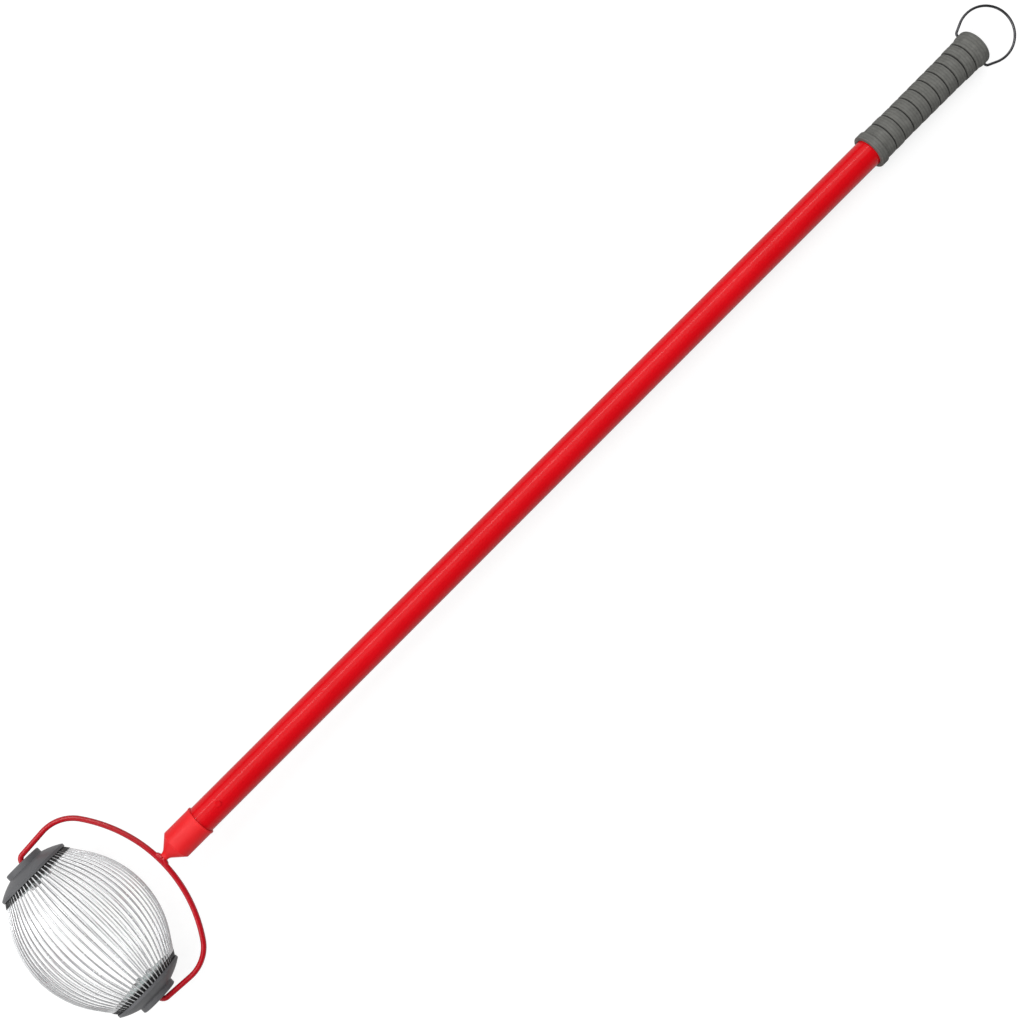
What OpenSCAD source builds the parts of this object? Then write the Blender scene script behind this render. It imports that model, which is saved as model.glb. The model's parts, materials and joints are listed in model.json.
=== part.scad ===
// Rolling nut gatherer: a barrel of sprung wires that turns in a bow at the end of a long tube.
// Pieces are drawn with the roller centre at the origin, the handle along +X and the roller
// axis along Y, and are then laid down so that the barrel and the grip rest on the floor.
// Left and right are seen by someone who holds the grip and looks towards the roller.

/* [Handle tube] */
// Distance from the roller axis to the end of the grip
reach = 1052; // [700:1:1400]
// Outside diameter of the tube
tube_od = 25.4; // [23:0.1:27]
// Wall thickness of the tube
tube_wall = 1.2; // [0.8:0.1:2]

/* [Grip] */
// Length of the rubber grip
grip_len = 133; // [110:1:180]
// Diameter of the ribbed middle of the grip
grip_od = 30.2; // [28.6:0.1:32]
// Diameter of the thicker bands at both ends of the ribbed middle
band_od = 31; // [30:0.1:32.6]
// Diameter of the collar at the lower end of the grip
collar_od = 33.2; // [31:0.1:36]
// Length of the collar at the lower end of the grip
collar_len = 7.5; // [7:0.1:14]
// Diameter of the collar at the closed end of the grip
end_od = 33.2; // [32:0.1:36]
// Length of the collar at the closed end of the grip
end_len = 10.5; // [9:0.1:16]
// Rounding of the closed end of the grip
end_round = 2.6; // [1:0.1:4]
// Thickness of rubber that closes the end of the grip
end_wall = 2.5; // [1.5:0.1:4]
// Distance from the lower end of the grip to its first groove
groove_first = 18.3; // [16:0.1:24]
// Distance from one groove to the next
groove_pitch = 10.86; // [8:0.02:14]
// Diameter of the round bottom of a groove
groove_d = 1.6; // [0.8:0.1:2.2]

/* [Hang loop] */
// Diameter of the loop's wire
loop_wire_d = 2.3; // [1.6:0.1:2.8]
// Outside diameter of the loop
loop_od = 52.2; // [48:0.1:60]
// Lean of the loop's legs away from the handle
loop_lean = 24; // [20:1:35]
// Distance from the end of the grip back to the loop's pivot
pivot_inset = 6; // [5:0.1:8]
// Bend radius, on the wire's centre, where the loop turns into the grip
foot_bend_r = 3; // [2:0.1:3.4]
// Gap between the loop's feet and the sides of the grip
foot_gap = 0.95; // [0.5:0.05:2]
// Distance that the loop's ends stand out inside the tube
foot_reach = 2; // [1:0.1:4]

/* [Neck cap] */
// Wall thickness of the soft cap over the tube's lower end
cap_skin = 1; // [0.7:0.05:1.6]
// Distance from the roller axis to the tip of the cap
nose_x = 83.2; // [82.5:0.1:90]
// Slope of the cap's cone against the handle
cone_angle = 41; // [35:1:52]
// Radius of the hollow that blends the cone into its tip
nose_blend_r = 6.4; // [3:0.1:8]
// Thickness of the cap's skin at its tip
nose_skin = 1.2; // [0.5:0.05:2]
// Length of the cap's straight skirt
skirt_len = 28.2; // [18:0.1:40]
// Height of the rolled lip at the end of the skirt
lip_h = 0.4; // [0.2:0.05:0.7]
// Length of the rolled lip
lip_len = 1.6; // [1.2:0.1:3]

/* [Shank and plug] */
// Length of the plug inside the tube
plug_len = 66; // [56:1:90]
// Length of shank inside the plug
shank_hold = 56; // [40:1:60]
// Distance from the tube's lower end to the rivet that holds the plug
plug_rivet_x = 49; // [30:0.5:54]
// Shank diameter of the plug rivet
plug_rivet_d = 3.2; // [2.4:0.1:4]
// Head diameter of the plug rivet
plug_head_d = 4.8; // [4.2:0.1:7]
// Height of the plug rivet's head above the tube
plug_head_h = 0.9; // [0.5:0.1:1.5]
// Depth of the plug rivet below the tube's surface
plug_rivet_depth = 8; // [5:0.1:9]

/* [Bow] */
// Diameter of the rod that the bow and the shank are made of
rod_d = 4.7; // [4:0.1:5.4]
// Distance from the roller axis to the crown of the bow
crown_x = 79.3; // [77:0.1:80]
// Bend radius of the bow's crown
crown_r = 126; // [115:1:180]
// Bend radius of the bow's two shoulders
shoulder_r = 32; // [26:0.1:40]
// Gap between a hub's face and the bow's leg at its widest place
leg_gap = 3.4; // [2.8:0.05:6]
// Lean of the legs in towards the hubs
leg_lean = 4; // [0:0.5:5]
// Bend radius where a leg turns into the roller
axle_bend_r = 5; // [4:0.1:5.6]
// Chamfer on the ends of the rod
rod_chamfer = 0.5; // [0.2:0.1:1]
// Width of the weld along the bow
weld_w = 14; // [10:0.1:18]
// Thickness of the weld across the bow
weld_t = 6; // [5.6:0.1:8]
// Height of the weld's outer edges beside the bow
weld_edge = 2.5; // [2.4:0.1:3.2]

/* [End caps] */
// Distance from the middle of the roller to the face of each hub
hub_half = 79.2; // [72:0.2:88]
// Diameter of the hub on an end cap
boss_d = 33; // [31:0.5:38]
// Height of the hub above the dome
boss_h = 4.8; // [3:0.1:7]
// Rounding of the hub's edge
boss_round = 1.2; // [0.5:0.1:2]
// Diameter of an end cap at its rim
rim_d = 64.3; // [62:0.1:70]
// Height of the straight band round the rim
rim_edge = 2.4; // [1:0.1:3]
// Height of the dome from its rim to the hub
dome_h = 10; // [8:0.1:14]
// Wall thickness of the dome
dome_wall = 2.2; // [1.5:0.1:3]
// Wall thickness of the rim round the comb wheel
rim_wall = 1.2; // [1:0.1:1.6]
// Depth of the seat for the comb wheel inside the rim
seat_depth = 2.55; // [2.2:0.05:2.75]

/* [Comb rings] */
// Thickness of the comb wheel's web
base_t = 2.8; // [2:0.1:4]
// Length of the teeth below the cap's rim
tooth_len = 4.5; // [4:0.1:7]
// Height of the teeth above the wires between them
tooth_rise = 0.25; // [0.2:0.05:0.6]
// Outside diameter of the sleeve that runs on the bow's end
sleeve_od = 8; // [7:0.1:9]
// Distance that the sleeve stops short of the hub's face
sleeve_inset = 1.5; // [0.6:0.1:3]

/* [Clamp discs and rivets] */
// Diameter of the steel disc under the rivets' rolled ends
disc_d = 41.6; // [38:0.2:45]
// Thickness of the steel disc
disc_t = 1.2; // [0.8:0.1:2]
// Diameter of the hole in the middle of the disc
disc_hole_d = 7.2; // [6:0.1:8]
// Number of rivets through each end
rivet_n = 3; // [3:1:4]
// Diameter of the circle that the rivets lie on
rivet_ring_d = 17.6; // [17.4:0.1:21]
// Diameter of a rivet's tube
rivet_d = 4; // [3.6:0.1:4.6]
// Bore of a rivet
rivet_bore_d = 2.6; // [2:0.1:3]
// Diameter of a rivet's head
rivet_head_d = 6.9; // [6:0.1:7.2]
// Thickness of a rivet's head
rivet_head_t = 1; // [0.6:0.1:1.1]
// Depth of the recess round a rivet's head
recess_depth = 1.2; // [1.1:0.1:2]
// Diameter of a rivet's rolled end
roll_d = 5.6; // [5:0.1:7]
// Height of a rivet's rolled end
roll_t = 2.9; // [0.6:0.1:3]
// Chamfer on the edges of a rivet
rivet_chamfer = 0.3; // [0.1:0.05:0.4]

/* [Cage wires] */
// Diameter of the cage over its wires
cage_d = 110.6; // [104:0.2:120]
// Number of wires
wire_n = 60; // [48:12:72]
// Diameter of a wire
wire_d = 1.2; // [0.9:0.05:1.2]
// Lean of the wires' straight ends against the roller axis
wire_lean = 33; // [30:0.5:36]
// Bend radius where a wire turns in under the cap
wire_bend_r = 3; // [2:0.1:3.5]
// Distance from the wall of the cap's seat in to the middle of a wire at the rim
wire_inset = 0.85; // [0.8:0.05:1.5]
// Length of wire held between cap and comb wheel
wire_grip = 2.6; // [2:0.1:4]

/* [Fits] */
// Gap between pieces that are pushed together
fit_gap = 0.05; // [0.02:0.01:0.1]
// Gap all round a shaft that turns in a hole
run_gap = 0.06; // [0.02:0.01:0.1]
// Gap all round a rivet's head in its recess
recess_gap = 0.4; // [0.2:0.05:0.6]
// Gap on each side of a wire in its slot
slot_gap = 0.08; // [0.04:0.01:0.15]

/* [Hidden] */
$fn = 64;
// Overrun of every cut
over = 1;
// Bends are this much smaller in radius than the straight stretches that they run into
seam = 0.02;
// Length of a bend inside the stretches on both sides of it
lap = 0.4;
// Steps in a round stretch of an outline
arc_steps = 8;
// Nodes that the wires are shared out to
wire_groups = 12;

// Roller, with distances along its axis measured from its middle
rim_y = hub_half - boss_h - dome_h;
seat_y = rim_y + seat_depth;
tip_y = rim_y - tooth_len;
web_y = tip_y + base_t;
boss_y = hub_half - boss_h;
seat_r = rim_d / 2 - rim_wall;
base_r = seat_r - fit_gap;
disc_y = tip_y - disc_t;
sleeve_y = hub_half - sleeve_inset;
rivet_head_y = hub_half - recess_depth;
rivet_top_y = rivet_head_y + rivet_head_t;

// Dome: a sphere through the rim's upper edge and the foot of the hub
dome_y = (pow(boss_d / 2, 2) + pow(boss_y, 2) - pow(rim_d / 2, 2) - pow(rim_y + rim_edge, 2))
    / (2 * (boss_y - rim_y - rim_edge));
dome_r = norm([boss_d / 2, boss_y - dome_y]);

// Wire: an arc over the belly, a straight stretch and a bend at each end, and a leg that points to the axis
belly_r = cage_d / 2 - wire_d / 2 + seam;
wire_rim_r = seat_r - wire_inset;
wire_arc_r = (rim_y * tan(wire_lean) - belly_r + wire_rim_r) / (1 / cos(wire_lean) - 1);
wire_arc_end = [belly_r - wire_arc_r * (1 - cos(wire_lean)), wire_arc_r * sin(wire_lean)];
leg_y = seat_y - fit_gap - wire_d / 2;
bend_centre_r = wire_rim_r - (leg_y - rim_y) * tan(wire_lean) - wire_bend_r * tan((90 - wire_lean) / 2);
bend_centre_y = leg_y - wire_bend_r;
wire_end_len = (bend_centre_y + wire_bend_r * sin(wire_lean) - wire_arc_end[1]) / cos(wire_lean);
leg_in_r = bend_centre_r - wire_grip;
hollow_r = leg_in_r - wire_d;

// Slots along the wires, and teeth between them
slot_w = wire_d + 2 * slot_gap;
slot_half = wire_d / 2 + fit_gap;
slot_bend_r = wire_bend_r - slot_half;
slot_tip_r = wire_rim_r + (tooth_len + over) * tan(wire_lean) - slot_half / cos(wire_lean);
tooth_rim_r = wire_rim_r + (wire_d / 2 + tooth_rise) / cos(wire_lean);
tooth_tip_r = tooth_rim_r + tooth_len * tan(wire_lean);

// Bow, in the plane of the handle and the roller axis
bow_half = hub_half + leg_gap + rod_d / 2;
crown_half = asin((bow_half - shoulder_r) / (crown_r - shoulder_r));
shoulder_x = crown_x - crown_r + (crown_r - shoulder_r) * cos(crown_half);
shoulder_y = bow_half - shoulder_r;
leg_end = (shoulder_x - shoulder_r * sin(leg_lean)) / cos(leg_lean);
leg_corner_y = shoulder_y + shoulder_r / cos(leg_lean) - shoulder_x * tan(leg_lean);
axle_trim = axle_bend_r * tan((90 - leg_lean) / 2);
axle_root_y = leg_corner_y - axle_trim;
axle_tip_y = seat_y - fit_gap;

// Neck, with distances along the handle measured from the roller axis
nose_r = rod_d / 2 + nose_skin;
cap_r = tube_od / 2 + fit_gap + cap_skin;
cone_foot_r = nose_r + nose_blend_r * (1 - cos(cone_angle));
cone_foot_x = nose_x + nose_blend_r * sin(cone_angle);
cone_end_x = cone_foot_x + (cap_r - cone_foot_r) / tan(cone_angle);
lip_x = cone_end_x + skirt_len;
tube_x = cone_end_x + cap_skin;
bore_cone_x = tube_x - (cap_r - cap_skin - rod_d / 2 - fit_gap) / tan(cone_angle);
weld_end_x = nose_x - fit_gap;
shank_end_x = tube_x + shank_hold;

// Grip and hang loop
grip_x = reach - grip_len;
tube_end_x = reach - end_wall - fit_gap;
pivot_x = reach - pivot_inset;
groove_n = floor((grip_len - end_len - groove_first) / groove_pitch) + 1;
low_band = groove_first + groove_pitch;
high_band = groove_first + (groove_n - 2) * groove_pitch;
loop_r = loop_od / 2 - loop_wire_d / 2;
loop_foot_y = end_od / 2 + foot_gap + loop_wire_d / 2;
loop_centre = (loop_r - loop_foot_y * cos(loop_lean)) / sin(loop_lean);
loop_turn = 90 - loop_lean;
foot_trim = foot_bend_r * tan(loop_turn / 2);
loop_leg_len = loop_centre * cos(loop_lean) - loop_foot_y * sin(loop_lean) - foot_trim;
loop_tip_y = tube_od / 2 - tube_wall - foot_reach;

// Lying on the floor: two wires and the grip's end collar touch it
axle_h = belly_r * cos(180 / wire_n) + wire_d / 2 - seam;
rest_x = reach - end_round;
tilt = asin(axle_h / norm([rest_x, end_od / 2])) - atan2(end_od / 2, rest_x);
far_x = (pivot_x + loop_centre + loop_r) * cos(tilt) + loop_wire_d / 2;
mid_x = (far_x - axle_h) / 2;

wire_nodes = [for (g = [1:wire_groups]) str("cage_wires_", g < 10 ? "0" : "", g)];

// Points of an arc in an outline, from angle a0 to a1 about a centre
function arc_points(centre, r, a0, a1) =
    [for (i = [0:arc_steps]) centre + r * [cos(a0 + (a1 - a0) * i / arc_steps),
                                           sin(a0 + (a1 - a0) * i / arc_steps)]];

// Turn of a wire about the roller axis, with a gap and not a wire straight below the axle
function wire_turn(i) = (i + 0.5) * 360 / wire_n;

// Lays a piece of the handle down on the floor
module laid() {
    translate([-mid_x, 0, axle_h]) rotate([0, tilt, 0]) children();
}

// Puts a piece of the roller on its axle, for the left end mirrored
module on_axle(left = false) {
    translate([-mid_x, 0, axle_h]) mirror([0, left ? 1 : 0, 0]) children();
}

// Turns a half section, radius across and distance up, about the handle or the roller axis
module about_x() {
    rotate([0, 90, 0]) rotate_extrude() children();
}
module about_y() {
    rotate([-90, 0, 0]) rotate_extrude() children();
}

// Round bars along the handle, along the roller axis, and bent in their common plane
module bar_x(d, x0, x1) {
    translate([x0, 0, 0]) rotate([0, 90, 0]) cylinder(d = d, h = x1 - x0);
}
module bar_y(d, y0, y1) {
    translate([0, y0, 0]) rotate([-90, 0, 0]) cylinder(d = d, h = y1 - y0);
}
module bar_arc(d, r, a0, a1) {
    rotate([0, 0, a0]) rotate_extrude(angle = a1 - a0) translate([r, 0]) circle(d = d);
}

// A bend that runs a little way into the stretches before and after it
module bar_bend(d, r, a0, a1) {
    bar_arc(d - 2 * seam, r, a0 - lap / r * 180 / PI, a1 + lap / r * 180 / PI);
}

// Draws its children on both sides of the handle
module both_sides() {
    children();
    mirror([0, 1, 0]) children();
}

// Half section of a turned band with rounded outer corners
module band(r, y0, y1, corner) {
    translate([0, y0]) square([r - corner, y1 - y0]);
    translate([0, y0 + corner]) square([r, y1 - y0 - 2 * corner]);
    for (y = [y0 + corner, y1 - corner]) translate([r - corner, y]) circle(r = corner);
}

// Repeats its children at the rivets of one end
module at_rivets() {
    for (i = [0:rivet_n - 1]) rotate([0, i * 360 / rivet_n, 0])
        translate([rivet_ring_d / 2, 0, 0]) children();
}

// Thin steel tube with holes for the loop's feet and the plug rivet
module handle_tube() {
    color("red") laid() difference() {
        bar_x(tube_od, tube_x, tube_end_x);
        bar_x(tube_od - 2 * tube_wall, tube_x - over, tube_end_x + over);
        translate([pivot_x, 0, 0]) bar_y(loop_wire_d + 2 * run_gap, -tube_od, tube_od);
        translate([tube_x + plug_rivet_x, 0, 0]) cylinder(d = plug_rivet_d + 2 * fit_gap, h = tube_od);
    }
}

// Rubber sleeve, closed at its end, with collars, bands and ring grooves
module grip() {
    color([0.36, 0.36, 0.34]) laid() difference() {
        translate([grip_x, 0, 0]) about_x() difference() {
            union() {
                band(collar_od / 2, 0, collar_len, groove_d / 2);
                square([grip_od / 2, grip_len - end_len]);
                square([band_od / 2, low_band]);
                translate([0, high_band]) square([band_od / 2, grip_len - end_len - high_band]);
                band(end_od / 2, grip_len - end_len, grip_len, end_round);
            }
            for (i = [0:groove_n - 1]) {
                groove_y = groove_first + i * groove_pitch;
                in_band = groove_y <= low_band || groove_y >= high_band;
                translate([(in_band ? band_od : grip_od) / 2, groove_y]) circle(d = groove_d);
            }
            translate([0, -over]) square([tube_od / 2 + fit_gap, grip_len - end_wall + over]);
        }
        translate([pivot_x, 0, 0]) bar_y(loop_wire_d + 2 * run_gap, -end_od, end_od);
    }
}

// Round wire loop whose two feet turn in the grip's cross holes
module hang_loop() {
    color("silver") laid() translate([pivot_x, 0, 0]) {
        translate([loop_centre, 0, 0]) bar_bend(loop_wire_d, loop_r, -90 - loop_lean, 90 + loop_lean);
        both_sides() {
            translate([0, loop_foot_y, 0]) rotate([0, 0, loop_lean])
                bar_x(loop_wire_d, foot_trim, foot_trim + loop_leg_len);
            translate([foot_bend_r, loop_foot_y - foot_trim, 0])
                bar_bend(loop_wire_d, foot_bend_r, 180 - loop_turn, 180);
            bar_y(loop_wire_d, loop_tip_y, loop_foot_y - foot_trim);
        }
    }
}

// Soft cap that covers the tube's lower end and runs down to the shank
module neck_cap() {
    color([0.93, 0.13, 0.14]) laid() about_x() difference() {
        union() {
            polygon(concat(
                [[0, lip_x], [0, nose_x]],
                arc_points([nose_r + nose_blend_r, nose_x], nose_blend_r, 180, 180 - cone_angle),
                [[cap_r, cone_end_x], [cap_r, lip_x]]
            ));
            band(cap_r + lip_h, lip_x - lip_len, lip_x, lip_h);
        }
        polygon([
            [0, nose_x - over], [rod_d / 2 + fit_gap, nose_x - over], [rod_d / 2 + fit_gap, bore_cone_x],
            [cap_r - cap_skin, tube_x], [cap_r - cap_skin, lip_x + over], [0, lip_x + over]
        ]);
    }
}

// The bent rod that the shank and the weld fit round, a little larger by the given gap
module crown_rod(gap) {
    translate([crown_x - crown_r, 0, 0]) bar_arc(rod_d + 2 * gap, crown_r, -crown_half, crown_half);
}

// Straight rod from the bow's crown into the plug
module shank() {
    color("firebrick") laid() difference() {
        bar_x(rod_d, crown_x, shank_end_x);
        crown_rod(fit_gap);
    }
}

// Plug that fills the tube's lower end and holds the shank
module shank_plug() {
    color("gray") laid() difference() {
        bar_x(tube_od - 2 * tube_wall - 2 * fit_gap, tube_x, tube_x + plug_len);
        bar_x(rod_d + 2 * fit_gap, tube_x - over, shank_end_x + fit_gap);
        translate([tube_x + plug_rivet_x, 0, tube_od / 2 - plug_rivet_depth - fit_gap])
            cylinder(d = plug_rivet_d + 2 * fit_gap, h = tube_od);
    }
}

// Rivet through the tube's wall into the plug, with its head on the tube
module plug_rivet() {
    color("red") laid() translate([tube_x + plug_rivet_x, 0, 0]) {
        translate([0, 0, tube_od / 2 - plug_rivet_depth]) cylinder(d = plug_rivet_d, h = plug_rivet_depth);
        difference() {
            cylinder(d = plug_head_d, h = tube_od / 2 + plug_head_h);
            bar_x(tube_od, -plug_head_d, plug_head_d);
        }
    }
}

// Rod bent to a bow, with both ends turned in as the roller's axle
module bow() {
    color("firebrick") laid() {
        crown_rod(0);
        both_sides() {
            translate([shoulder_x, shoulder_y, 0])
                bar_bend(rod_d, shoulder_r, crown_half, 90 + leg_lean);
            translate([0, leg_corner_y, 0]) rotate([0, 0, leg_lean]) bar_x(rod_d, axle_trim, leg_end);
            translate([axle_bend_r, axle_root_y, 0])
                bar_bend(rod_d, axle_bend_r, 90 + leg_lean, 180);
            bar_y(rod_d, axle_tip_y + rod_chamfer, axle_root_y);
            translate([0, axle_tip_y, 0]) rotate([-90, 0, 0])
                cylinder(d1 = rod_d - 2 * rod_chamfer, d2 = rod_d, h = rod_chamfer);
        }
    }
}

// Weld that fills the corner between the bow's crown and the shank
module bow_weld() {
    color("firebrick") laid() difference() {
        intersection() {
            about_x() polygon([
                [0, crown_x], [weld_w / 2, crown_x], [weld_w / 2, crown_x + weld_edge],
                [nose_r, weld_end_x], [0, weld_end_x]
            ]);
            translate([crown_x - over, -weld_w, -weld_t / 2]) cube([weld_end_x, 2 * weld_w, weld_t]);
        }
        translate([crown_x, 0, 0]) bar_y(rod_d + 2 * fit_gap, -weld_w, weld_w);
        bar_x(rod_d + 2 * fit_gap, crown_x - over, weld_end_x + over);
    }
}

// Domed plastic cap with a hub, hollow under the dome
module end_cap(left) {
    color([0.32, 0.32, 0.34]) on_axle(left) difference() {
        about_y() difference() {
            union() {
                intersection() {
                    translate([0, dome_y]) circle(r = dome_r);
                    translate([0, rim_y]) square([rim_d / 2, hub_half - rim_y]);
                }
                band(boss_d / 2, seat_y, hub_half, boss_round);
            }
            translate([0, rim_y - over]) square([seat_r, seat_depth + over]);
            intersection() {
                translate([0, dome_y]) circle(r = dome_r - dome_wall);
                translate([boss_d / 2, seat_y - over]) square([hollow_r - boss_d / 2, dome_h]);
            }
        }
        bar_y(sleeve_od + 2 * fit_gap, rim_y, hub_half + over);
        at_rivets() {
            bar_y(rivet_d + 2 * fit_gap, rim_y, hub_half);
            bar_y(rivet_head_d + 2 * recess_gap, rivet_head_y, hub_half + over);
        }
    }
}

// Slotted wheel with a web, a boss for the rivets and a sleeve that runs on the bow's end
module comb_ring(left) {
    color([0.07, 0.07, 0.08]) on_axle(left) difference() {
        about_y() polygon([
            [rod_d / 2 + run_gap, tip_y], [tooth_tip_r, tip_y], [tooth_rim_r, rim_y],
            [base_r, rim_y], [base_r, seat_y], [hollow_r, seat_y], [hollow_r, web_y],
            [boss_d / 2, web_y], [boss_d / 2, seat_y],
            [sleeve_od / 2, seat_y], [sleeve_od / 2, sleeve_y], [rod_d / 2 + run_gap, sleeve_y]
        ]);
        for (i = [0:wire_n - 1]) rotate([0, wire_turn(i), 0])
            translate([0, 0, -slot_w / 2]) linear_extrude(slot_w) slot_outline();
        at_rivets() bar_y(rivet_d + 2 * fit_gap, tip_y - over, seat_y + over);
    }
}

// Slot round a wire's leg, bend and straight end, open to the outside
module slot_outline() {
    polygon([
        [leg_in_r - slot_gap, seat_y + over], [leg_in_r - slot_gap, leg_y - slot_half],
        [bend_centre_r, leg_y - slot_half],
        [bend_centre_r, bend_centre_y] + slot_bend_r * [cos(wire_lean), sin(wire_lean)],
        [slot_tip_r, tip_y - over], [rim_d, tip_y - over], [rim_d, seat_y + over]
    ]);
}

// Steel disc on the comb wheel's inner face
module clamp_disc(left) {
    color("lightsteelblue") on_axle(left) difference() {
        bar_y(disc_d, disc_y, tip_y);
        bar_y(disc_hole_d, disc_y - over, tip_y + over);
        at_rivets() bar_y(rivet_d + 2 * fit_gap, disc_y - over, tip_y + over);
    }
}

// Tubular rivets, with a head in the hub and a rolled end on the disc
module rivets(left) {
    color("silver") on_axle(left) at_rivets() about_y() polygon([
        [rivet_bore_d / 2, disc_y - roll_t], [roll_d / 2 - rivet_chamfer, disc_y - roll_t],
        [roll_d / 2, disc_y - roll_t + rivet_chamfer], [roll_d / 2, disc_y],
        [rivet_d / 2, disc_y], [rivet_d / 2, rivet_head_y],
        [rivet_head_d / 2, rivet_head_y], [rivet_head_d / 2, rivet_top_y - rivet_chamfer],
        [rivet_head_d / 2 - rivet_chamfer, rivet_top_y], [rivet_bore_d / 2, rivet_top_y]
    ]);
}

// One bowed wire, in the plane of the handle and the roller axis
module wire() {
    translate([belly_r - wire_arc_r, 0, 0]) bar_bend(wire_d, wire_arc_r, -wire_lean, wire_lean);
    both_sides() {
        translate([wire_arc_end[0], wire_arc_end[1], 0]) rotate([0, 0, 90 + wire_lean])
            bar_x(wire_d, 0, wire_end_len);
        translate([bend_centre_r, bend_centre_y, 0]) bar_bend(wire_d, wire_bend_r, wire_lean, 90);
        translate([0, leg_y, 0]) bar_x(wire_d, leg_in_r, bend_centre_r);
    }
}

// One group of neighbouring wires
module cage_wires(group) {
    per_group = wire_n / wire_groups;
    color("gainsboro") on_axle() for (i = [0:per_group - 1])
        rotate([0, wire_turn(group * per_group + i), 0]) wire();
}

handle_tube();
grip();
hang_loop();
neck_cap();
shank();
shank_plug();
plug_rivet();
bow();
bow_weld();
end_cap(true);  // left_end_cap
end_cap(false);  // right_end_cap
comb_ring(true);  // left_comb_ring
comb_ring(false);  // right_comb_ring
clamp_disc(true);  // left_clamp_disc
clamp_disc(false);  // right_clamp_disc
rivets(true);  // left_rivets
rivets(false);  // right_rivets
for (g = [0:wire_groups - 1]) cage_wires(g);
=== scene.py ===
import json
import math
from random import Random

import bmesh
import bpy
from mathutils import Matrix, Vector


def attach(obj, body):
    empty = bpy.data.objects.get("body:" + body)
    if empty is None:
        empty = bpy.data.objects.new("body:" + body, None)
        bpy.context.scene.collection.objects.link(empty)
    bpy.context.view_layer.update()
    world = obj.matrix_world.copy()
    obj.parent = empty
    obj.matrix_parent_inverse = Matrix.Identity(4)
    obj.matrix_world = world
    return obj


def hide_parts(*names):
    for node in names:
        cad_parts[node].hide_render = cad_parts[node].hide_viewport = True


# Looks of the nut gatherer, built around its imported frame. Lengths are in metres.
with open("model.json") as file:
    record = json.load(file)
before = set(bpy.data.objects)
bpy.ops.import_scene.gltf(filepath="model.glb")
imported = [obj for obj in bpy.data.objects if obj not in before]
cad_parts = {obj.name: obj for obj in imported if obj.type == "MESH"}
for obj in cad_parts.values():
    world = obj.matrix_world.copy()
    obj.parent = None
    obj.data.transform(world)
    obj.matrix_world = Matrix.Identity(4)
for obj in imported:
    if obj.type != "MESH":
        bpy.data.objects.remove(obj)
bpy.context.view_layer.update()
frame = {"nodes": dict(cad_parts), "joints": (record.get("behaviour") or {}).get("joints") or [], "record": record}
scene = bpy.context.scene
scene.view_settings.view_transform = "Standard"

MM = 0.001

# Camera: the photograph's frame, and its place over the tool as it lies on the floor
IMAGE_H = 1024
FOCAL_PX = 1506
CAMERA_HEIGHT = 1.2965
CAMERA_AHEAD_OF_AXLE = 0.458
CAMERA_SIDE = 0.0396
CAMERA_PITCH = math.radians(1.2)
CAMERA_LEAN = math.radians(-1.815)
CAMERA_ROLL = math.radians(44.89)

# Grip: places run from its lower end, the loop's pivot and the end band from its upper end
PIVOT_INSET = 6 * MM
GRIP_LEN = 133 * MM
GRIP_LOW_R = 14.95 * MM
GRIP_HIGH_R = 15.35 * MM
BAND_SWELL = 0.4 * MM
COLLAR_R = 16.6 * MM
COLLAR_LEN = 7.5 * MM
COLLAR_ROUND = 0.9 * MM
COLLAR_LAST_DEG = 10
SHOULDER_W = 1.2 * MM
SHOULDER_DEPTH = 0.5 * MM
END_R = 16.6 * MM
END_LEN = 10.5 * MM
END_ROUND = 2.6 * MM
END_CROWN = 0.35 * MM
END_BLEND = 5 * MM
END_BLEND_STEPS = 12
END_ARC_STEPS = 10
GRIP_BORE_R = 12.75 * MM
MOUTH_CHAMFER_X = 0.8 * MM
MOUTH_CHAMFER_R = 0.45 * MM
GRIP_END_WALL = 2.5 * MM
FOOT_HOLE_R = 1.21 * MM
FOOT_HOLE_LEN = 4 * END_R
FOOT_HOLE_SIDES = 48
GROOVE_FIRST = 18.3 * MM
GROOVE_PITCH = 10.86 * MM
GROOVE_COUNT = 10
GROOVE_W = 1.7 * MM
GROOVE_FLOOR_HALF = GROOVE_W / 5
GROOVE_DEPTH = 1.1 * MM
# Shares of the groove width over which the painted groove shade fades out
GROOVE_SHADE_SHARES = (0.15, 0.5)
BAND_RIBS = 2
RIB_CROWN = 0.22 * MM
RIB_CROWN_POWER = 4
RIB_SHARES = (0, 0.06, 0.16, 0.35, 0.6, 0.82, 0.94, 1)

# Weld, measured from the roller's axle along the handle
WELD_TOE = Vector((80.7, 5.3, 0.7)) * MM
WELD_THROAT = Vector((82.0, 1.35, 1.35)) * MM
WELD_R = 1.75 * MM
WELD_BEADS = 12
WELD_SEED = 7
WELD_SPREAD = (0.97, 1.05)
WELD_BALL_DETAIL = 3
WELD_VOXEL = 0.25 * MM
WELD_SMOOTHING = 0.5
WELD_SMOOTH_STEPS = 12

# Materials: axes of the paint's streaks, and where along the axle the cage wires turn dull
STREAK_AXES = (6, 160, 160)
WIRE_DULL = (54 * MM, 60 * MM)
DULL_METAL = 0.15


def joint_place(name):
    """Where a joint of the record sits."""
    return next(Vector(j["pos_m"]) for j in frame["joints"] if j["name"] == name)


# The handle's own frame: x from the axle along the handle, y along the axle, z up
axle = joint_place("roller_spin")
pivot = joint_place("loop_swing")
along = (pivot - axle).normalized()
across = Vector((0, 1, 0))
upward = along.cross(across)
handle = Matrix((along, across, upward)).transposed().to_4x4()
handle.translation = axle
GRIP_X = (pivot - axle).length + PIVOT_INSET - GRIP_LEN


# Node materials
def add(tree, kind, sockets=(), **settings):
    """A new shader node. A value that is a socket of another node is linked, any other is set."""
    made = tree.nodes.new(kind)
    for key, value in settings.items():
        setattr(made, key, value)
    for key, value in dict(sockets).items():
        if isinstance(value, bpy.types.NodeSocket):
            tree.links.new(value, made.inputs[key])
        else:
            made.inputs[key].default_value = value
    return made


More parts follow.
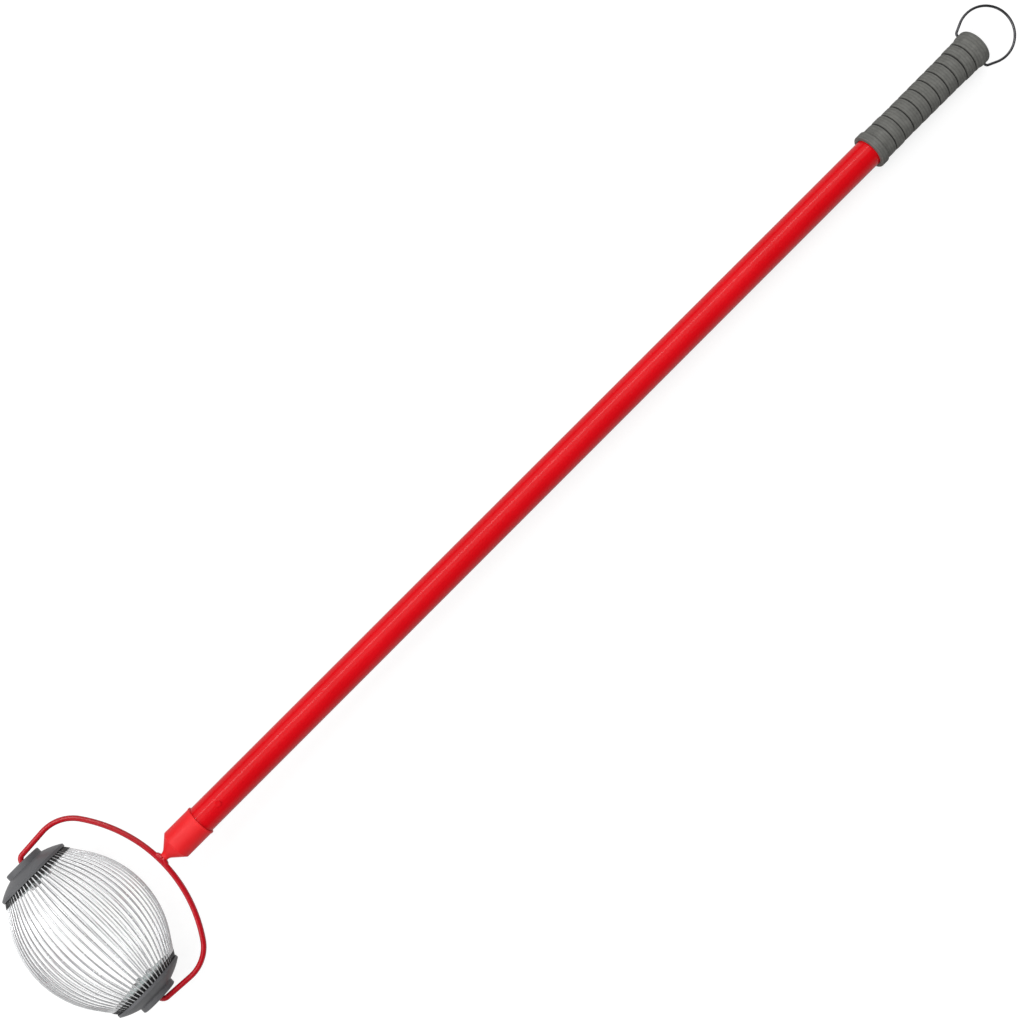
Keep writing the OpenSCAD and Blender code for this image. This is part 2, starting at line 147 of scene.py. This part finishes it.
def maths(tree, operation, first, second):
    """Two values joined by a sum, a product or the like."""
    return add(tree, "ShaderNodeMath", {0: first, 1: second}, operation=operation).outputs[0]


def noise(tree, place, scale, detail, roughness=0.5):
    """Grey noise over the piece."""
    values = {"Vector": place, "Scale": scale, "Detail": detail, "Roughness": roughness}
    return add(tree, "ShaderNodeTexNoise", values).outputs["Fac"]


def spread(tree, value, low, high, start=0.3, stop=0.7):
    """Maps a grey value from start..stop to low..high."""
    values = {"Value": value, "From Min": start, "From Max": stop, "To Min": low, "To Max": high}
    return add(tree, "ShaderNodeMapRange", values).outputs["Result"]


def mixed(tree, share, first, second):
    """Colour between two colours."""
    made = add(tree, "ShaderNodeMix", data_type="RGBA")
    tree.links.new(share, made.inputs["Factor"])
    colours = [s for s in made.inputs if s.type == "RGBA"]
    for socket, value in zip(colours, (first, second)):
        if isinstance(value, bpy.types.NodeSocket):
            tree.links.new(value, socket)
        else:
            socket.default_value = (*value, 1)
    return next(s for s in made.outputs if s.type == "RGBA")


def stretched(tree, place, factors):
    """Place with its axes scaled, for streaks and brushed lines."""
    values = {"Vector": place, "Scale": factors}
    return add(tree, "ShaderNodeMapping", values).outputs["Vector"]


def material(name, **constants):
    """A new material, its tree, its shader and the piece's own coordinates."""
    made = bpy.data.materials.new(name)
    made.use_nodes = True
    tree = made.node_tree
    shader = tree.nodes["Principled BSDF"]
    for key, value in constants.items():
        shader.inputs[key.replace("_", " ")].default_value = value
    place = add(tree, "ShaderNodeTexCoord").outputs["Object"]
    return made, tree, shader, place


def finish(tree, shader, colour, rough, height, distance):
    """Links colour, roughness and relief to a shader."""
    bump = add(tree, "ShaderNodeBump", {"Height": height, "Distance": distance})
    tree.links.new(colour, shader.inputs["Base Color"])
    tree.links.new(rough, shader.inputs["Roughness"])
    tree.links.new(bump.outputs["Normal"], shader.inputs["Normal"])


def gloss_paint(name, colour, deep, gloss):
    """Sprayed gloss paint: soft cloudiness, orange peel, and a few fine rubbed streaks."""
    made, tree, shader, place = material(name, Specular_IOR_Level=gloss)
    cloud = noise(tree, place, scale=14, detail=4)
    streak = noise(tree, stretched(tree, place, STREAK_AXES), scale=3, detail=5, roughness=0.65)
    peel = noise(tree, place, scale=900, detail=2)
    tint = mixed(tree, spread(tree, cloud, low=0, high=1), deep, colour)
    rough = spread(tree, streak, low=0.1, high=0.2, start=0.35, stop=0.75)
    finish(tree, shader, tint, rough, peel, distance=0.004 * MM)
    return made


def soft_vinyl(name, colour, deep):
    """Dipped vinyl: satin, faintly uneven, a little darker in patches."""
    made, tree, shader, place = material(name, Specular_IOR_Level=0.35)
    cloud = noise(tree, place, scale=55, detail=4)
    skin = noise(tree, place, scale=420, detail=4, roughness=0.6)
    tint = mixed(tree, spread(tree, cloud, low=0, high=1), deep, colour)
    rough = spread(tree, cloud, low=0.36, high=0.5)
    finish(tree, shader, tint, rough, skin, distance=0.05 * MM)
    return made


def moulded(name, colour, dust, low, high, grain, depth):
    """Moulded plastic: fine spark-eroded grain, light dust in patches."""
    made, tree, shader, place = material(name, Specular_IOR_Level=0.45)
    cloud = noise(tree, place, scale=38, detail=5, roughness=0.6)
    fine = noise(tree, place, scale=grain, detail=3, roughness=0.6)
    tint = mixed(tree, spread(tree, cloud, low=0, high=1, start=0.35, stop=0.8), colour, dust)
    finish(tree, shader, tint, spread(tree, cloud, low, high), fine, depth)
    return made


def rubber(name, colour, worn, painted_shade):
    """Ribbed rubber: fine rings round the handle, chalky wear, pores, and painted shade in the ring valleys and in
    the grooves.
    """
    made, tree, shader, place = material(name, Specular_IOR_Level=0.3)
    rings = add(tree, "ShaderNodeTexWave",
                {"Vector": place, "Scale": 115, "Distortion": 1.2, "Detail": 2, "Detail Scale": 2},
                wave_type="BANDS", bands_direction="X").outputs["Fac"]
    pores = noise(tree, place, scale=1500, detail=3, roughness=0.6)
    cloud = noise(tree, place, scale=150, detail=6, roughness=0.72)
    relief = maths(tree, "ADD", rings, pores)
    tint = mixed(tree, spread(tree, cloud, low=0, high=1, start=0.3, stop=0.75), colour, worn)
    # Painted shade: the valleys of the fine rings are darkened towards the shade colour
    tint = mixed(tree, spread(tree, rings, low=0.22, high=0, start=0, stop=0.5), tint, painted_shade)
    way = add(tree, "ShaderNodeSeparateXYZ", {"Vector": place}).outputs["X"]
    # Painted shade: the grooves between the ribs are darkened, as shade in the recesses
    step = maths(tree, "SUBTRACT", way, GRIP_X + GROOVE_FIRST)
    apart = maths(tree, "PINGPONG", step, GROOVE_PITCH / 2)
    middle = GROOVE_PITCH * (GROOVE_COUNT - 1) / 2
    reach = {0: step, 1: middle, 2: middle + GROOVE_W}
    ringed = add(tree, "ShaderNodeMath", reach, operation="COMPARE").outputs[0]
    start, stop = (share * GROOVE_W for share in GROOVE_SHADE_SHARES)
    groove_shade = maths(tree, "MULTIPLY", spread(tree, apart, 1, 0, start, stop), ringed)
    tint = mixed(tree, groove_shade, tint, painted_shade)
    rough = spread(tree, pores, low=0.62, high=0.8)
    finish(tree, shader, tint, rough, relief, distance=0.1 * MM)
    return made


def steel(name, colour, dark, low, high, metal=1.0, dull=None):
    """Bare or plated metal with fine lines and dull spots, whitish where dull says."""
    made, tree, shader, place = material(name, Metallic=metal)
    if dull:
        way = add(tree, "ShaderNodeSeparateXYZ", {"Vector": place}).outputs["Y"]
        apart = add(tree, "ShaderNodeMath", {0: way}, operation="ABSOLUTE").outputs[0]
        tree.links.new(spread(tree, apart, metal, DULL_METAL, *dull), shader.inputs["Metallic"])
    lines = noise(tree, place, scale=240, detail=4, roughness=0.6)
    cloud = noise(tree, place, scale=130, detail=4, roughness=0.6)
    tint = mixed(tree, spread(tree, cloud, low=0, high=1), dark, colour)
    finish(tree, shader, tint, spread(tree, lines, low, high), lines, distance=0.01 * MM)
    return made


LOOKS = {
    "red_paint": gloss_paint("red_paint_look", (0.70, 0.004, 0.009), (0.64, 0.003, 0.007), 0.24),
    "red_rod": gloss_paint("red_rod_look", (0.54, 0.004, 0.014), (0.46, 0.003, 0.010), 0.6),
    "red_vinyl": soft_vinyl("red_vinyl_look", (0.83, 0.014, 0.018), (0.78, 0.011, 0.014)),
    "plug_nylon": moulded("plug_nylon_look", (0.5, 0.5, 0.48), (0.58, 0.58, 0.56),
                          low=0.45, high=0.6, grain=500, depth=0.03 * MM),
    # The last colour of the grip is painted shade for its grooves and ring valleys
    "grip_rubber": rubber("grip_rubber_look", (0.108, 0.108, 0.1), (0.175, 0.175, 0.163),
                          painted_shade=(0.025, 0.025, 0.023)),
    "loop_wire": steel("loop_wire_look", (0.16, 0.16, 0.17), (0.08, 0.08, 0.085), low=0.18, high=0.34),
    "grey_plastic": moulded("grey_plastic_look", (0.102, 0.103, 0.109), (0.128, 0.129, 0.135),
                            low=0.36, high=0.5, grain=1400, depth=0.03 * MM),
    "black_plastic": moulded("black_plastic_look", (0.008, 0.008, 0.009), (0.016, 0.016, 0.017),
                             low=0.35, high=0.5, grain=900, depth=0.02 * MM),
    "zinc_steel": steel("zinc_steel_look", (0.68, 0.77, 0.76), (0.58, 0.67, 0.66),
                        low=0.28, high=0.46, metal=0.5),
    "rivet_steel": steel("rivet_steel_look", (0.82, 0.82, 0.83), (0.7, 0.7, 0.71), low=0.16, high=0.3),
    "cage_wire": steel("cage_wire_look", (0.93, 0.94, 0.95), (0.8, 0.81, 0.82),
                       low=0.16, high=0.3, metal=0.7, dull=WIRE_DULL),
}

for part in frame["record"]["subparts"]:
    solid = frame["nodes"][part["node"]]
    solid.data.materials.clear()
    solid.data.materials.append(LOOKS[part["material_slot"]])


# Pieces made in mesh code
def piece(name, mesh_builder, node, slot, sharp=30):
    """A new object from a filled bmesh, in the handle's frame, that stands for a node."""
    mesh = bpy.data.meshes.new(name)
    bmesh.ops.recalc_face_normals(mesh_builder, faces=mesh_builder.faces)
    mesh_builder.to_mesh(mesh)
    mesh_builder.free()
    mesh.shade_smooth()
    mesh.set_sharp_from_angle(angle=math.radians(sharp))
    made = bpy.data.objects.new(name, mesh)
    scene.collection.objects.link(made)
    made.matrix_world = handle
    made.data.materials.append(LOOKS[slot])
    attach(made, "handle")
    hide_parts(node)
    return made


def arc(x, r, radius, start, stop, steps=6):
    """Points of an arc in an outline, angles in degrees from +x towards +r."""
    turns = [math.radians(start + (stop - start) * i / steps) for i in range(steps + 1)]
    return [(x + radius * math.cos(t), r + radius * math.sin(t)) for t in turns]


def lathe(outline, segments=144):
    """Turns an outline of (x, r) points about the x axis. A point at r = 0 closes the end."""
    build = bmesh.new()
    turns = [2 * math.pi * k / segments for k in range(segments)]
    rings = []
    for x, r in outline:
        around = turns if r > 0 else [0]
        rings.append([build.verts.new((x, r * math.cos(t), r * math.sin(t))) for t in around])
    for one, two in zip(rings, rings[1:]):
        for k in range(segments):
            n = (k + 1) % segments
            corners = [one[k % len(one)], one[n % len(one)], two[n % len(two)], two[k % len(two)]]
            build.faces.new(list(dict.fromkeys(corners)))
    return build


def grip_outline():
    """Grip from the end of its bore round its lower mouth to the crown of its closed end."""
    bore_end = GRIP_LEN - GRIP_END_WALL
    points = [(bore_end, 0), (bore_end, GRIP_BORE_R)]
    points += [(MOUTH_CHAMFER_X, GRIP_BORE_R), (0, GRIP_BORE_R + MOUTH_CHAMFER_R)]
    points += arc(COLLAR_ROUND, COLLAR_R - COLLAR_ROUND, COLLAR_ROUND, 180, 90)
    points += arc(COLLAR_LEN - COLLAR_ROUND, COLLAR_R - COLLAR_ROUND, COLLAR_ROUND, 90, COLLAR_LAST_DEG)
    points.append((COLLAR_LEN + SHOULDER_W / 2, GRIP_LOW_R + BAND_SWELL - SHOULDER_DEPTH))
    grooves = [GROOVE_FIRST + i * GROOVE_PITCH for i in range(GROOVE_COUNT)]
    blend_x = GRIP_LEN - END_LEN - END_BLEND / 2
    edges = [COLLAR_LEN + SHOULDER_W, *grooves, blend_x]
    for i, (low, high) in enumerate(zip(edges, edges[1:])):
        radius = GRIP_LOW_R + (GRIP_HIGH_R - GRIP_LOW_R) * i / GROOVE_COUNT
        if i < BAND_RIBS or i > GROOVE_COUNT - BAND_RIBS:
            radius += BAND_SWELL
        first = low + (GROOVE_W / 2 if i else 0)
        last = high - (GROOVE_W / 2 if i < GROOVE_COUNT else 0)
        for share in RIB_SHARES:
            swell = RIB_CROWN * (1 - (2 * share - 1) ** RIB_CROWN_POWER)
            points.append((first + (last - first) * share, radius - RIB_CROWN + swell))
        if i < GROOVE_COUNT:
            points.append((high - GROOVE_FLOOR_HALF, radius - GROOVE_DEPTH))
            points.append((high + GROOVE_FLOOR_HALF, radius - GROOVE_DEPTH))
    band_r = points[-1][1]
    for i in range(1, END_BLEND_STEPS + 1):
        swell = (1 - math.cos(math.pi * i / END_BLEND_STEPS)) / 2
        points.append((blend_x + END_BLEND * i / END_BLEND_STEPS, band_r + (END_R - band_r) * swell))
    points += arc(GRIP_LEN - END_CROWN - END_ROUND, END_R - END_ROUND, END_ROUND, 90, 0, END_ARC_STEPS)
    points += [(GRIP_LEN - END_CROWN / 3, END_R / 2), (GRIP_LEN, 0)]
    return [(GRIP_X + x, r) for x, r in points]


def drilled(build, x, radius, length):
    """The mesh with a round hole along y through a place on the handle's axis."""
    bore = bmesh.new()
    place = Matrix.Translation((x, 0, 0)) @ Matrix.Rotation(math.pi / 2, 4, "X")
    bmesh.ops.create_cone(bore, cap_ends=True, segments=FOOT_HOLE_SIDES, radius1=radius, radius2=radius,
                          depth=length, matrix=place)
    bmesh.ops.recalc_face_normals(build, faces=build.faces)
    solids = []
    for name, source in (("drilled", build), ("drill", bore)):
        mesh = bpy.data.meshes.new(name)
        source.to_mesh(mesh)
        source.free()
        solids.append(bpy.data.objects.new(name, mesh))
        scene.collection.objects.link(solids[-1])
    body, drill = solids
    cut = body.modifiers.new("hole", "BOOLEAN")
    cut.object = drill
    cut.solver = "EXACT"
    result = bmesh.new()
    result.from_object(body, bpy.context.evaluated_depsgraph_get())
    for used in solids:
        bpy.data.meshes.remove(used.data)
    return result


def weld_beads():
    """Overlapping beads of a hand-made weld, from its toes on the bow to the shank, above and below."""
    draw = Random(WELD_SEED)
    build = bmesh.new()
    for side in (-1, 1):
        for face in (-1, 1):
            for i in range(WELD_BEADS):
                spot = WELD_TOE.lerp(WELD_THROAT, i / (WELD_BEADS - 1))
                size = WELD_R * draw.uniform(*WELD_SPREAD)
                place = Matrix.Translation((spot.x, side * spot.y, face * spot.z))
                bmesh.ops.create_icosphere(build, subdivisions=WELD_BALL_DETAIL, radius=size,
                                           matrix=place)
    return build


sleeve = drilled(lathe(grip_outline()), (pivot - axle).length, FOOT_HOLE_R, FOOT_HOLE_LEN)
piece("grip_sleeve", sleeve, "grip", "grip_rubber")
weld = piece("weld_bead", weld_beads(), "bow_weld", "red_rod", sharp=180)
melt = weld.modifiers.new("melt", "REMESH")
melt.mode = "VOXEL"
melt.voxel_size = WELD_VOXEL
melt.use_smooth_shade = True
settle = weld.modifiers.new("settle", "SMOOTH")
settle.factor = WELD_SMOOTHING
settle.iterations = WELD_SMOOTH_STEPS


# Floor, light and camera. Each edge of a sky panel is a span of the direction's x, y or z
FLOOR_HALF = 6.0
FLOOR_GLOW = 0.74
FLOOR_FADE = (1.2, 3.0)
FLOOR_TONE = 0.35
FLOOR_IN_GLOSS = 0.4
SKY_DARK = 0.048
SKY_RIGHT = 0.88
SKY_LEFT = 0.4
SKY_FRONT = 1.12
SKY_RIGHT_EDGE = (0.02, 0.12)
SKY_HIGH_EDGE = (0.15, 0.45)
SKY_LEFT_EDGE = (-0.4, -0.15)
SKY_LOW_EDGE = (0.2, 0.45)
SKY_FRONT_EDGE = (-0.6, -0.5)


def seen(tree):
    """1 for what the camera sees straight or through clear things, less in gloss, 0 for other light."""
    rays = add(tree, "ShaderNodeLightPath").outputs
    gloss = maths(tree, "MULTIPLY", rays["Is Glossy Ray"], FLOOR_IN_GLOSS)
    both = maths(tree, "MAXIMUM", rays["Is Camera Ray"], gloss)
    return maths(tree, "MAXIMUM", both, rays["Is Transmission Ray"])


def floor():
    """Pale floor: its own tone takes the shadows, and a glow that grows far off lifts it to white."""
    made = bpy.data.materials.new("floor_look")
    made.use_nodes = True
    tree = made.node_tree
    tree.nodes.clear()
    diffuse = add(tree, "ShaderNodeBsdfDiffuse", {"Color": (FLOOR_TONE, FLOOR_TONE, FLOOR_TONE, 1)})
    place = add(tree, "ShaderNodeNewGeometry").outputs["Position"]
    apart = add(tree, "ShaderNodeVectorMath", {0: place}, operation="LENGTH").outputs["Value"]
    lift = maths(tree, "MULTIPLY", seen(tree), spread(tree, apart, FLOOR_GLOW, 1, *FLOOR_FADE))
    glow = add(tree, "ShaderNodeEmission", {"Strength": lift})
    both = add(tree, "ShaderNodeAddShader", {0: diffuse.outputs[0], 1: glow.outputs[0]})
    add(tree, "ShaderNodeOutputMaterial", {"Surface": both.outputs[0]})
    mesh = bpy.data.meshes.new("floor")
    corners = [(-FLOOR_HALF, -FLOOR_HALF, 0), (FLOOR_HALF, -FLOOR_HALF, 0),
               (FLOOR_HALF, FLOOR_HALF, 0), (-FLOOR_HALF, FLOOR_HALF, 0)]
    mesh.from_pydata(corners, [], [(0, 1, 2, 3)])
    mesh.materials.append(made)
    plane = bpy.data.objects.new("floor", mesh)
    scene.collection.objects.link(plane)


def sky():
    """Studio dome with pale panels: high on the right and ahead of the roller, low on the left.

    The camera itself sees white.
    """
    world = bpy.data.worlds.new("studio")
    scene.world = world
    world.use_nodes = True
    tree = world.node_tree
    tree.nodes.clear()
    place = add(tree, "ShaderNodeTexCoord").outputs["Generated"]
    way = add(tree, "ShaderNodeSeparateXYZ", {"Vector": place}).outputs
    right = spread(tree, way["Y"], 0, SKY_RIGHT, *SKY_RIGHT_EDGE)
    high = spread(tree, way["Z"], 0, 1, *SKY_HIGH_EDGE)
    left = spread(tree, way["Y"], SKY_LEFT, 0, *SKY_LEFT_EDGE)
    low = spread(tree, way["Z"], 1, 0, *SKY_LOW_EDGE)
    ahead = spread(tree, way["X"], SKY_FRONT, 0, *SKY_FRONT_EDGE)
    front = maths(tree, "MULTIPLY", ahead, high)
    panels = maths(tree, "ADD", maths(tree, "MULTIPLY", right, high), maths(tree, "MULTIPLY", left, low))
    level = maths(tree, "ADD", maths(tree, "ADD", panels, front), SKY_DARK)
    camera_ray = add(tree, "ShaderNodeLightPath").outputs["Is Camera Ray"]
    shown = maths(tree, "MAXIMUM", camera_ray, level)
    back = add(tree, "ShaderNodeBackground", {"Color": (1, 1, 1, 1), "Strength": shown})
    add(tree, "ShaderNodeOutputWorld", {"Surface": back.outputs[0]})


def softbox(name, place, target, size, power, mirrored=True):
    """Rectangular lamp that faces a point, its long side along the handle, and shows in gloss or not."""
    lamp = bpy.data.lights.new(name, "AREA")
    lamp.shape = "RECTANGLE"
    lamp.size, lamp.size_y = size
    lamp.energy = power
    made = bpy.data.objects.new(name, lamp)
    made.visible_glossy = mirrored
    back = (Vector(place) - Vector(target)).normalized()
    side = Vector((1, 0, 0))
    side = (side - back * side.dot(back)).normalized()
    made.matrix_world = Matrix((side, back.cross(side), back)).transposed().to_4x4()
    made.matrix_world.translation = Vector(place)
    scene.collection.objects.link(made)


def camera():
    """Camera over the handle and a little to its right, turned so that the tool lies across the frame."""
    data = bpy.data.cameras.new("camera")
    data.lens = FOCAL_PX / IMAGE_H * data.sensor_width
    made = bpy.data.objects.new("camera", data)
    ahead = Vector((math.cos(CAMERA_PITCH), 0, math.sin(CAMERA_PITCH)))
    upright = ahead.cross(across)
    beside = across * math.cos(CAMERA_LEAN) + upright * math.sin(CAMERA_LEAN)
    back = ahead.cross(beside)
    right = ahead * math.cos(CAMERA_ROLL) - beside * math.sin(CAMERA_ROLL)
    made.matrix_world = Matrix((right, back.cross(right), back)).transposed().to_4x4()
    made.matrix_world.translation = Vector((axle.x + CAMERA_AHEAD_OF_AXLE, CAMERA_SIDE, CAMERA_HEIGHT))
    scene.collection.objects.link(made)
    scene.camera = made


floor()
sky()
softbox("top_light", place=(-0.35, 0, 2.2), target=(-0.35, 0, 0), size=(3.0, 2.0), power=27,
        mirrored=False)
softbox("strip_light", place=(0, 1.2, 1.5), target=(0, 0, 0), size=(3.0, 0.22), power=9)
camera()
